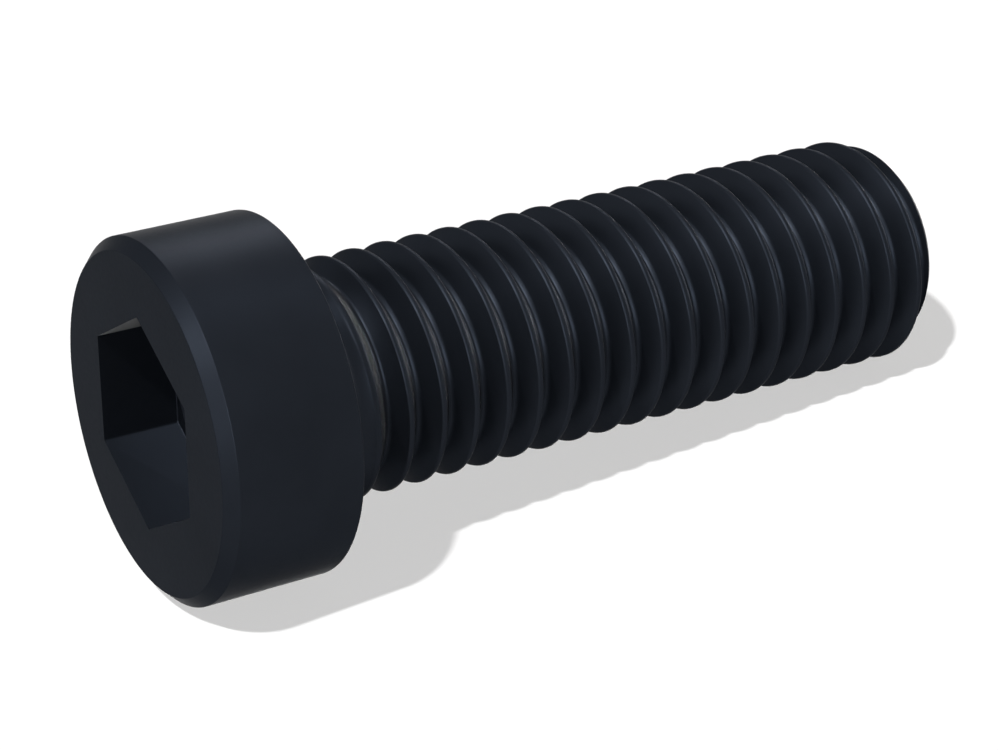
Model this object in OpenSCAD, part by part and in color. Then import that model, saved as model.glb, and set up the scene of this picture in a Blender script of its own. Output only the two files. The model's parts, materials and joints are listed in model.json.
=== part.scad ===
/* [Head] */
// Diameter of the head
head_d = 15; // [14:0.5:18]
// Height of the head
head_h = 5.8; // [5:0.1:8]
// Size of the 45 degree chamfer round the face of the head
head_chamfer = 0.5; // [0.2:0.1:0.9]
// Radius of the round on the rear edge of the head
head_edge_r = 0.1; // [0.05:0.05:0.3]

/* [Socket] */
// Width across the flats of the hexagon socket
socket_af = 8; // [6:0.5:9]
// Depth of the flats
socket_depth = 3.3; // [2:0.1:4]
// Full angle of the drill point below the flats
drill_angle = 120; // [110:5:140]
// Gap between the edge of the drill point and the middle of each flat
drill_gap = 0.05; // [0.02:0.01:0.2]

/* [Shank] */
// Length under the head
length = 30.2; // [16:0.2:50]
// Radius of the fillet under the head
fillet_r = 0.4; // [0.2:0.1:0.6]
// Size of the 45 degree chamfer at the tip
tip_chamfer = 0.85; // [0.5:0.05:1.5]

/* [Thread] */
// Outer diameter of the thread
thread_d = 10; // [8:0.5:11]
// Distance from one crest to the next
pitch = 1.5; // [1:0.25:2]
// Length of plain shank between the fillet and the thread
plain = 0.5; // [0.2:0.1:4]
// Length over which the groove sinks to its full depth
runout = 2.2; // [1:0.1:5]
// Turn, counted from the top, at which the crest reaches the end of the screw
crest_turn = 17; // [0:1:359]

/* [Hidden] */
$fn = 96;
head_r = head_d / 2;
thread_r = thread_d / 2;
drill_r = socket_af / 2 - drill_gap;
neck = fillet_r + plain;
// How far one solid reaches past another that it joins or cuts
past = 1;

// Metric thread form: a 60 degree V with flat crests and round roots
v_height = pitch * sqrt(3) / 2;
root_depth = v_height * 17 / 24;
root_round = v_height / 6;
crest_half = pitch / 16;
// Points of one turn of the thread: distance along the shank and radius
form = concat(
    [[-crest_half, thread_r], [crest_half, thread_r]],
    [for (a = [-60 : 40 : 60])
        [pitch / 2 + root_round * sin(a), thread_r - root_depth + root_round * (1 - cos(a))]]
);
form_n = len(form);

// Columns run along the shank, and rows wind round it as the thread does. The screw lies on
// the flat between two columns, so a column's turn from the top is a half step off
columns = 36;
function turn(column) = (column + 0.5) / columns;
end = length + past;
top_crest = length - pitch * crest_turn / 360;
first_crest = top_crest - pitch * (ceil((top_crest - neck) / pitch) + 1);
rows = form_n * (ceil((end - first_crest) / pitch) + 1);
function row_z(row, column) =
    first_crest + pitch * (floor(row / form_n) + turn(column)) + form[row % form_n][0];
// In each column the rows between these two lie on the thread
low = [for (c = [0 : columns - 1]) len([for (r = [0 : rows]) if (row_z(r, c) <= neck) r]) - 1];
high = [for (c = [0 : columns - 1]) len([for (r = [0 : rows]) if (row_z(r, c) < end) r])];

// The bottom of the groove rises to the surface towards the head
function root_r(z) = thread_r - root_depth * (z - neck) / runout;
function place(radius, column, z) =
    let (angle = 90 + 360 * turn(column)) [radius * cos(angle), radius * sin(angle), z];
function thread_point(row, column) =
    let (z = min(max(row_z(row, column), neck), end))
    place(max(form[row % form_n][1], root_r(z)), column, z);

// Rings of the fillet: height above the bearing face and radius. The first is inside the head
fillet_rings = concat(
    [[-past, thread_r + fillet_r]],
    [for (a = [0 : 30 : 90]) [fillet_r * (1 - cos(a)), thread_r + fillet_r * (1 - sin(a))]]
);
ring_n = len(fillet_rings);
function ring_id(ring, column) = ring * columns + column % columns;
function thread_id(row, column) =
    column == columns ? thread_id(row + form_n, 0)
    : columns * (ring_n + min(max(row, low[column]), high[column])) + column;

// Lying down, the rear edge of the head and the last full crest touch the ground
full_end = length - tip_chamfer;
under_gap = (full_end - crest_half - length - pitch * (180 - crest_turn) / 360 + 9 * pitch) % pitch;
touch = full_end - (under_gap > pitch - 2 * crest_half ? 0 : under_gap);
dip = atan((head_r - thread_r) / (touch + head_edge_r));

module head() {
    rotate_extrude()
        polygon(concat(
            [[0, -head_h], [head_r - head_chamfer, -head_h], [head_r, head_chamfer - head_h]],
            [for (a = [0 : 30 : 90])
                [head_r - head_edge_r * (1 - cos(a)), head_edge_r * (sin(a) - 1)]],
            [[0, 0]]
        ));
}

module socket() {
    translate([0, 0, -head_h - past])
        rotate([0, 0, 90])
            cylinder(d = socket_af / cos(30), h = socket_depth + past, $fn = 6);
    translate([0, 0, socket_depth - head_h])
        cylinder(r1 = drill_r, r2 = 0, h = drill_r / tan(drill_angle / 2));
}

// The threaded rod, which reaches into the head and past the tip
module rod() {
    polyhedron(
        points = concat(
            [for (ring = fillet_rings, c = [0 : columns - 1]) place(ring[1], c, ring[0])],
            [for (r = [0 : rows], c = [0 : columns - 1]) thread_point(r, c)]
        ),
        faces = concat(
            [[for (c = [0 : columns - 1]) ring_id(0, c)]],
            [for (k = [0 : ring_n - 2], c = [0 : columns - 1])
                [ring_id(k, c), ring_id(k + 1, c), ring_id(k + 1, c + 1), ring_id(k, c + 1)]],
            [for (c = [0 : columns - 1])
                [ring_id(ring_n - 1, c), thread_id(0, c), thread_id(0, (c + 1) % columns),
                 ring_id(ring_n - 1, c + 1)]],
            [for (r = [0 : rows], c = [0 : columns - 1], f = facets(r, c)) f],
            [[for (c = [columns - 1 : -1 : 0]) thread_id(rows, c)]]
        )
    );
}

// The two triangles between neighbouring rows and columns, without those that have no area
function facets(r, c) =
    let (a = thread_id(r, c), b = thread_id(r, c + 1), d = thread_id(r + 1, c), e = thread_id(r + 1, c + 1))
    [for (f = [[a, d, e], [a, e, b]]) if (f[0] != f[1] && f[1] != f[2] && f[2] != f[0]) f];

// What the chamfer and the flat end leave of the rod
module envelope() {
    rotate_extrude()
        polygon([
            [0, -2 * past],
            [thread_r + 2 * past, -2 * past],
            [thread_r + 2 * past, full_end - 2 * past],
            [thread_r - tip_chamfer, length],
            [0, length]
        ]);
}

module cap_screw() {
    color("#24272b")
        rotate([0, 90 + dip, 0])
            rotate([0, 0, 90])
                difference() {
                    union() {
                        head();
                        intersection() {
                            rod();
                            envelope();
                        }
                    }
                    socket();
                }
}

cap_screw();
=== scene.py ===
import json
import math

import bpy
from mathutils import Matrix, Vector


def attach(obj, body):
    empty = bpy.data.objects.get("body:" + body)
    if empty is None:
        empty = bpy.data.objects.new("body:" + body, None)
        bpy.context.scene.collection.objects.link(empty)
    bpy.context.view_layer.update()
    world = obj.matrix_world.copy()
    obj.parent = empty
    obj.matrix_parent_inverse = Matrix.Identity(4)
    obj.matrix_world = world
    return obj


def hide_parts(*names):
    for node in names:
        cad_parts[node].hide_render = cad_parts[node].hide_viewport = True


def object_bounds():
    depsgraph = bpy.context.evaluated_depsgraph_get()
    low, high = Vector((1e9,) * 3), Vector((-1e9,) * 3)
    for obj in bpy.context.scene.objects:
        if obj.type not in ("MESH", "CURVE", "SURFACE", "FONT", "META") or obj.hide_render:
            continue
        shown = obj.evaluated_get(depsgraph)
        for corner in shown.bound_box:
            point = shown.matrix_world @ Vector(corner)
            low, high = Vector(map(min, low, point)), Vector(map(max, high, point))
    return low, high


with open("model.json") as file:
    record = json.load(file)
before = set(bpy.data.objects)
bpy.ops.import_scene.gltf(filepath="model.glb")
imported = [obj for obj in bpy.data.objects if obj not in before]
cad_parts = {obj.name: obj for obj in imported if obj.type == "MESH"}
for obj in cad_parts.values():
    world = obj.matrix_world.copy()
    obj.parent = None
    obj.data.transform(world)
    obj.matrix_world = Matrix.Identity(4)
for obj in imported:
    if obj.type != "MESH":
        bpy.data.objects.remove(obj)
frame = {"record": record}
cadLow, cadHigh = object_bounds()

# The screw's main sizes in millimetres, and how it lies, as the frame gives them
mounts = {mount["name"]: mount for mount in frame["record"]["mounts"]}
insideBox = 0.006       # keeps the rounder mesh inside the box of the faceted CAD model
headRadius = mounts["head"]["dims"]["r_mm"] - insideBox
threadRadius = mounts["thread"]["dims"]["r_mm"] - insideBox
shankLength = mounts["thread"]["dims"]["length_mm"]
socketDepth = mounts["hex_socket"]["dims"]["length_mm"]
headHeight = Vector(mounts["hex_socket"]["pos_m"]).length * 1000
screwAxis = Vector(mounts["thread"]["axis"])


# What every mesh is made with, in millimetres and degrees
meshMaking = {
    "merge": 0.0005,        # points closer than this become one
    "pick": 0.001,          # a point this near to a corner is the corner's own
    "supportGap": 0.02,     # a support stands this far outside its rounding
    "supportRoom": 0.1,     # and only where this much of the line is left past it
    "smoothAngle": 28,      # sharper edges than this stay crisp
}


def clearSelection():
    if bpy.context.object and bpy.context.object.mode != "OBJECT":
        bpy.ops.object.mode_set(mode="OBJECT")
    bpy.ops.object.select_all(action="DESELECT")


def pickOnly(obj):
    clearSelection()
    obj.select_set(True)
    bpy.context.view_layer.objects.active = obj


def roundingReach(before, corner, after):
    # how far a rounding goes along the lines on both sides of its corner
    before, middle, after = [Vector((c[0], c[1])) for c in (before, corner, after)]
    return corner[2] / math.tan((before - middle).angle(after - middle) / 2)


def addSupports(corners):
    # a point just outside each rounding, so that the shading of long faces stays true
    points = [corners[0]]
    for before, corner, after in zip(corners, corners[1:], corners[2:]):
        middle = Vector((corner[0], corner[1]))
        sides = []
        for other in (before, after):
            line = Vector((other[0], other[1])) - middle
            reach = roundingReach(before, corner, after) + meshMaking["supportGap"]
            wanted = corner[2] and line.length > reach + meshMaking["supportRoom"]
            sides.append([(*(middle + line.normalized() * reach), 0)] if wanted else [])
        points += sides[0] + [corner] + sides[1]
    return points + [corners[-1]]


def drawOutline(name, corners, segments):
    # a corner is (radius from the axis, height, rounding), and one vertex is extruded along them all
    corners = addSupports(corners)
    clearSelection()
    bpy.ops.mesh.primitive_plane_add(size=1, location=(0, 0, 0))
    outline = bpy.context.object
    outline.name = name
    bpy.ops.object.mode_set(mode="EDIT")
    bpy.ops.mesh.select_all(action="SELECT")
    bpy.ops.mesh.merge(type="CENTER")
    bpy.ops.transform.translate(value=(corners[0][0], 0, corners[0][1]))
    for here, there in zip(corners, corners[1:]):
        step = (there[0] - here[0], 0, there[1] - here[1])
        bpy.ops.mesh.extrude_vertices_move(TRANSFORM_OT_translate={"value": step})
    for before, corner, after in zip(corners, corners[1:], corners[2:]):
        if corner[2]:
            pickVertex(outline, corner)
            reach = roundingReach(before, corner, after)
            bpy.ops.mesh.bevel(offset=reach, segments=segments, affect="VERTICES")
    bpy.ops.object.mode_set(mode="OBJECT")
    return outline


def pickVertex(outline, corner):
    bpy.ops.mesh.select_all(action="DESELECT")
    bpy.ops.object.mode_set(mode="OBJECT")
    place = Vector((corner[0], 0, corner[1]))
    for vertex in outline.data.vertices:
        vertex.select = (vertex.co - place).length < meshMaking["pick"]
    bpy.ops.object.mode_set(mode="EDIT")


def closeMesh(obj):
    pickOnly(obj)
    bpy.ops.object.mode_set(mode="EDIT")
    bpy.ops.mesh.select_all(action="SELECT")
    bpy.ops.mesh.remove_doubles(threshold=meshMaking["merge"])
    bpy.ops.mesh.normals_make_consistent(inside=False)
    bpy.ops.object.mode_set(mode="OBJECT")


def turnOnLathe(name, corners, steps, segments):
    solid = drawOutline(name, corners, segments)
    bpy.ops.object.mode_set(mode="EDIT")
    bpy.ops.mesh.select_all(action="SELECT")
    bpy.ops.mesh.spin(steps=steps, angle=math.tau, center=(0, 0, 0), axis=(0, 0, 1))
    closeMesh(solid)
    return solid


def combine(solid, tool, operation):
    # joins or cuts with another solid, which is then thrown away
    pickOnly(solid)
    cut = solid.modifiers.new("Combine", "BOOLEAN")
    cut.operation = operation
    cut.object = tool
    cut.solver = "EXACT"
    bpy.ops.object.modifier_apply(modifier=cut.name)
    bpy.data.objects.remove(tool, do_unlink=True)
    closeMesh(solid)


def cutAcross(solid, height, keepAbove):
    pickOnly(solid)
    bpy.ops.object.mode_set(mode="EDIT")
    bpy.ops.mesh.select_all(action="SELECT")
    bpy.ops.mesh.bisect(
        plane_co=(0, 0, height), plane_no=(0, 0, 1), use_fill=True,
        clear_inner=keepAbove, clear_outer=not keepAbove,
    )
    bpy.ops.object.mode_set(mode="OBJECT")


# The head, the fillet, the plain neck and a plug that reaches into the thread. Heights count
# from the bearing face, and run towards the tip
headTurning = {
    "faceChamfer": 0.5,
    "rearRound": 0.1,
    "edgeRound": 0.04,
    "fillet": 0.4,
    "neck": 0.9,        # end of the plain part
    "plug": 0.12,       # how far the plug reaches past it
    "steps": 192,
    "segments": 3,
}


def turnHead(settings):
    chamfer, edge = settings["faceChamfer"], settings["edgeRound"]
    plugEnd = settings["neck"] + settings["plug"]
    corners = [
        (0, -headHeight, 0),
        (headRadius - chamfer, -headHeight, edge),
        (headRadius, chamfer - headHeight, edge),
        (headRadius, 0, settings["rearRound"]),
        (threadRadius, 0, settings["fillet"]),
        (threadRadius, settings["neck"], 0),
        (threadRadius - settings["plug"], plugEnd, 0),
        (0, plugEnd, 0),
    ]
    return turnOnLathe("cap_screw_body", corners, settings["steps"], settings["segments"])


# The thread: one turn of its outline is wound up round the axis. It is the metric form, a V of
# 60 degrees cut to 7/8 of its depth and rounded at the root, with a crest that is pitch / 8 wide
threadWinding = {
    "pitch": 1.5,
    "lead": 0.02,       # from the end of the neck to the start of the thread, on the plug
    "crestTurn": 17,    # degrees from the top at which the crest meets the end
    "crestRound": 0.12,
    "runout": 2.2,      # length over which the groove sinks to its full depth
    "tipChamfer": 0.85,
    "steps": 120,
    "segments": 5,
    "spare": 1.0,       # how far the winding, and what trims it, goes on past its ends
}


def windThread(settings):
    pitch, spare = settings["pitch"], settings["spare"]
    start = headTurning["neck"] + settings["lead"]
    # the outline stands on +X, a quarter turn before the top
    crest = shankLength - pitch * (settings["crestTurn"] / 360 + 0.25)
    crest -= pitch * (math.ceil((crest - start) / pitch) + 1)
    turns = math.ceil((shankLength + spare - crest) / pitch) + 1
    fullDepth = pitch * math.sqrt(3) / 2
    crestHalf = pitch / 16
    corners = [
        (threadRadius, crest, 0),
        (threadRadius, crest + crestHalf, settings["crestRound"]),
        (threadRadius - fullDepth * 7 / 8, crest + pitch / 2, fullDepth / 6),
        (threadRadius, crest + pitch - crestHalf, settings["crestRound"]),
        (threadRadius, crest + pitch, 0),
    ]
    rod = drawOutline("thread", corners, settings["segments"])
    winding = rod.modifiers.new("Winding", "SCREW")
    winding.angle = math.tau
    winding.screw_offset = pitch
    winding.iterations = turns
    winding.steps = settings["steps"]
    winding.render_steps = settings["steps"]
    pickOnly(rod)
    bpy.ops.object.modifier_apply(modifier=winding.name)
    closeMesh(rod)
    fadeGroove(rod, start, settings["runout"])
    cutAcross(rod, start, keepAbove=True)
    cutAcross(rod, shankLength + spare, keepAbove=False)
    closeMesh(rod)
    tip = shankLength - settings["tipChamfer"]
    envelope = turnOnLathe("envelope", [
        (0, start - spare, 0),
        (threadRadius + spare, start - spare, 0),
        (threadRadius + spare, tip - spare, 0),
        (threadRadius - settings["tipChamfer"], shankLength, 0),
        (0, shankLength, 0),
    ], settings["steps"], 1)
    combine(rod, envelope, "INTERSECT")
    return rod


def fadeGroove(rod, start, length):
    # towards the head the thread is drawn out more and more to a plain cylinder
    fade = rod.vertex_groups.new(name="runout")
    for vertex in rod.data.vertices:
        weight = 1 - (vertex.co.z - start) / length
        if weight > 0:
            fade.add([vertex.index], min(weight, 1), "REPLACE")
    pickOnly(rod)
    cast = rod.modifiers.new("Runout", "CAST")
    cast.cast_type = "CYLINDER"
    cast.use_z = False
    cast.factor = 1
    cast.use_radius_as_size = False
    cast.size = threadRadius
    cast.vertex_group = fade.name
    bpy.ops.object.modifier_apply(modifier=cast.name)
    rod.vertex_groups.clear()


# The hexagon socket, and the drill point at its bottom
socketTools = {
    "acrossFlats": 8.0,
    "drillGap": 0.05,       # from the edge of the drill point to the middle of each flat
    "drillShoulder": 0.02,  # the drill goes this much deeper than the flats
    "drillAngle": 120,
    "cornerRound": 0.06,
    "segments": 3,
    "steps": 144,
    "reach": 1.0,           # how far the tools stand out of the face
}


def cutSocket(body, settings):
    reach = settings["reach"]
    deep = socketDepth + reach
    clearSelection()
    bpy.ops.mesh.primitive_cylinder_add(
        vertices=6, radius=settings["acrossFlats"] / 2 / math.cos(math.pi / 6), depth=deep,
        location=(0, 0, deep / 2 - reach - headHeight),
    )
    broach = bpy.context.object
    bpy.ops.object.transform_apply(location=True, rotation=True, scale=True)
    bpy.ops.object.mode_set(mode="EDIT")
    bpy.ops.mesh.select_all(action="DESELECT")
    bpy.ops.object.mode_set(mode="OBJECT")
    for edge in broach.data.edges:
        ends = [broach.data.vertices[v].co for v in edge.vertices]
        edge.select = abs(ends[0].z - ends[1].z) > deep / 2
    bpy.ops.object.mode_set(mode="EDIT")
    bpy.ops.mesh.bevel(offset=settings["cornerRound"], segments=settings["segments"])
    bpy.ops.object.mode_set(mode="OBJECT")
    combine(body, broach, "DIFFERENCE")
    drillRadius = settings["acrossFlats"] / 2 - settings["drillGap"]
    pointDepth = drillRadius / math.tan(math.radians(settings["drillAngle"] / 2))
    shoulder = socketDepth - headHeight + settings["drillShoulder"]
    drill = turnOnLathe("drill", [
        (0, shoulder - reach, 0),
        (drillRadius, shoulder - reach, 0),
        (drillRadius, shoulder, 0),
        (0, shoulder + pointDepth, 0),
    ], settings["steps"], 1)
    combine(body, drill, "DIFFERENCE")


def layDown(body):
    # millimetres to metres, and the axis from upright to where the frame has it
    pickOnly(body)
    body.scale = (0.001, 0.001, 0.001)
    across = Matrix.Rotation(math.pi / 2, 4, "Z")
    dip = math.asin(-screwAxis.z)
    body.rotation_euler = (Matrix.Rotation(math.pi / 2 + dip, 4, "Y") @ across).to_euler()
    bpy.ops.object.transform_apply(location=True, rotation=True, scale=True)
    bpy.ops.object.shade_smooth_by_angle(angle=math.radians(meshMaking["smoothAngle"]))


print("turning the head")
screw = turnHead(headTurning)
print("cutting the socket")
cutSocket(screw, socketTools)
print("winding the thread")
combine(screw, windThread(threadWinding), "UNION")
print("laying the screw down")
layDown(screw)
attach(screw, "root")
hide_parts("cap_screw")


# Black oxide: a near-black metal skin with a blue cast, satin, with very fine grain
blackOxide = {
    "dark": (0.0108, 0.0127, 0.0166, 1),
    "light": (0.0157, 0.0185, 0.0242, 1),
    "rim": 0.5,         # keeps the skin dark where it is seen at a low angle
    "metal": 0.8,       # the rest is matt
    "patchScale": 260,
    "patchDetail": 3,
    "grainScale": 5200,
    "grainDetail": 2,
    "roughLow": 0.36,
    "roughHigh": 0.44,
    "bump": 0.04,
    "bumpDepth": 0.00002,
}


def makeBlackOxide(settings):
    material = bpy.data.materials.new("black oxide")
    material.use_nodes = True
    nodes, links = material.node_tree.nodes, material.node_tree.links
    shader = nodes["Principled BSDF"]
    rim = settings["rim"]
    shader.inputs["Metallic"].default_value = settings["metal"]
    shader.inputs["Specular IOR Level"].default_value = 0
    shader.inputs["Specular Tint"].default_value = (rim, rim, rim, 1)
    place = nodes.new("ShaderNodeTexCoord")
    patches = nodes.new("ShaderNodeTexNoise")
    patches.inputs["Scale"].default_value = settings["patchScale"]
    patches.inputs["Detail"].default_value = settings["patchDetail"]
    grain = nodes.new("ShaderNodeTexNoise")
    grain.inputs["Scale"].default_value = settings["grainScale"]
    grain.inputs["Detail"].default_value = settings["grainDetail"]
    for texture in (patches, grain):
        links.new(place.outputs["Object"], texture.inputs["Vector"])
    tone = nodes.new("ShaderNodeMix")
    tone.data_type = "RGBA"
    tone.inputs[6].default_value = settings["dark"]
    tone.inputs[7].default_value = settings["light"]
    links.new(patches.outputs["Fac"], tone.inputs["Factor"])
    links.new(tone.outputs[2], shader.inputs["Base Color"])
    rough = nodes.new("ShaderNodeMapRange")
    rough.inputs["To Min"].default_value = settings["roughLow"]
    rough.inputs["To Max"].default_value = settings["roughHigh"]
    links.new(grain.outputs["Fac"], rough.inputs["Value"])
    links.new(rough.outputs["Result"], shader.inputs["Roughness"])
    bump = nodes.new("ShaderNodeBump")
    bump.inputs["Strength"].default_value = settings["bump"]
    bump.inputs["Distance"].default_value = settings["bumpDepth"]
    links.new(grain.outputs["Fac"], bump.inputs["Height"])
    links.new(bump.outputs["Normal"], shader.inputs["Normal"])
    return material


print("blackening the steel")
screw.data.materials.clear()
screw.data.materials.append(makeBlackOxide(blackOxide))


# The floor, in metres, white to the eye and still catching the shadow
floorSheet = {"size": 6.0, "albedo": 0.835, "glow": 0.02}


def makeFloor(settings):
    clearSelection()
    bpy.ops.mesh.primitive_plane_add(size=settings["size"], location=(0, 0, cadLow.z))
    floor = bpy.context.object
    floor.name = "floor"
    bpy.ops.object.transform_apply(location=True, rotation=True, scale=True)
    material = bpy.data.materials.new("floor")
    material.use_nodes = True
    nodes, links = material.node_tree.nodes, material.node_tree.links
    shader = nodes["Principled BSDF"]
    albedo = settings["albedo"]
    shader.inputs["Base Color"].default_value = (albedo, albedo, albedo, 1)
    shader.inputs["Roughness"].default_value = 1
    shader.inputs["Specular IOR Level"].default_value = 0
    shader.inputs["Emission Color"].default_value = (1, 1, 1, 1)
    glow = nodes.new("ShaderNodeMath")
    glow.operation = "MULTIPLY"
    glow.inputs[1].default_value = settings["glow"]
    links.new(seenRays(nodes, links), glow.inputs[0])
    links.new(glow.outputs[0], shader.inputs["Emission Strength"])
    floor.data.materials.append(material)


def seenRays(nodes, links):
    # 1 for rays that the eye, a glossy surface or glass sends out, 0 for the rest
    path = nodes.new("ShaderNodeLightPath")
    total = path.outputs["Is Camera Ray"]
    for name in ("Is Glossy Ray", "Is Transmission Ray"):
        both = nodes.new("ShaderNodeMath")
        both.operation = "MAXIMUM"
        links.new(total, both.inputs[0])
        links.new(path.outputs[name], both.inputs[1])
        total = both.outputs[0]
    return total


# The surroundings look white and give this much light
studioWorld = {"fill": 0.05}


def makeWorld(settings):
    world = bpy.data.worlds.new("studio")
    bpy.context.scene.world = world
    world.use_nodes = True
    nodes, links = world.node_tree.nodes, world.node_tree.links
    background = nodes["Background"]
    background.inputs["Color"].default_value = (1, 1, 1, 1)
    level = nodes.new("ShaderNodeMapRange")
    level.inputs["To Min"].default_value = settings["fill"]
    level.inputs["To Max"].default_value = 1
    links.new(seenRays(nodes, links), level.inputs["Value"])
    links.new(level.outputs["Result"], background.inputs["Strength"])


# Directions are degrees round from +Y towards +X, and degrees above the floor. The key's angle
# is how wide it looks, which softens the edge of the shadow
keyLight = {"turn": -123, "rise": 57, "strength": 2.05, "angle": 2.2}
softBoxes = {
    "distance": 1.5,
    "size": 0.5,
    "boxes": {              # name: (turn, rise, watts, blue against red)
        "behind": (35, 31, 8.4, 0.84),
        "behind_low": (60, 5, 5.0, 0.84),
        "behind_floor": (54, -12, 1.9, 1),      # these two shine up through the floor
        "behind_under": (30, -38, 0.6, 1),
        "tip_low": (90, 5, 16.5, 0.84),
        "above": (120, 78, 2.9, 1.12),
        "camera_low": (-136, 15, 8.6, 1.12),
        "head": (-93, 40, 5.6, 1.06),
    },
}


def towards(turn, rise):
    turn, rise = math.radians(turn), math.radians(rise)
    return Vector((math.sin(turn) * math.cos(rise), math.cos(turn) * math.cos(rise), math.sin(rise)))


def makeLights():
    clearSelection()
    bpy.ops.object.light_add(type="SUN")
    key = bpy.context.object
    key.name = "key"
    key.data.energy = keyLight["strength"]
    key.data.angle = math.radians(keyLight["angle"])
    way = towards(keyLight["turn"], keyLight["rise"])
    key.location = way
    key.rotation_euler = way.to_track_quat("Z", "Y").to_euler()
    middle = (cadLow + cadHigh) / 2
    for name, (turn, rise, watts, blue) in softBoxes["boxes"].items():
        bpy.ops.object.light_add(type="AREA")
        lamp = bpy.context.object
        lamp.name = name
        lamp.data.size = softBoxes["size"]
        lamp.data.energy = watts
        lamp.data.color = (1, (1 + blue) / 2, blue)
        # its light reaches into the socket and the grooves, and only the key casts a shadow
        lamp.data.use_shadow = False
        lamp.data.cycles.use_multiple_importance_sampling = False
        lamp.visible_camera = False
        way = towards(turn, rise)
        lamp.location = middle + way * softBoxes["distance"]
        lamp.rotation_euler = way.to_track_quat("Z", "Y").to_euler()


# The photograph's camera, in millimetres and degrees: a point on its axis, how far back it
# stands, and how it is turned
cameraView = {
    "target": (10.39, 0.0, -2.65),
    "distance": 118.5,
    "turn": 29.36,
    "down": 27.22,
    "roll": -4.66,
    "lens": 101.17,
    "sensor": 36,
    "nearest": 5,
    "farthest": 20000,
}


def makeCamera(settings):
    clearSelection()
    bpy.ops.object.camera_add()
    camera = bpy.context.object
    camera.data.lens = settings["lens"]
    camera.data.sensor_width = settings["sensor"]
    camera.data.clip_start = settings["nearest"] / 1000
    camera.data.clip_end = settings["farthest"] / 1000
    aim = Matrix.Rotation(-math.radians(settings["turn"]), 4, "Z")
    aim = aim @ Matrix.Rotation(math.radians(90 - settings["down"]), 4, "X")
    aim = aim @ Matrix.Rotation(math.radians(settings["roll"]), 4, "Z")
    back = aim @ Vector((0, 0, settings["distance"] / 1000))
    place = Vector(settings["target"]) / 1000 + back
    camera.matrix_world = Matrix.Translation(place) @ aim
    bpy.context.scene.camera = camera


print("setting the stage")
makeFloor(floorSheet)
makeWorld(studioWorld)
makeLights()
makeCamera(cameraView)
bpy.context.scene.view_settings.view_transform = "Standard"

print("faces", len(screw.data.polygons))
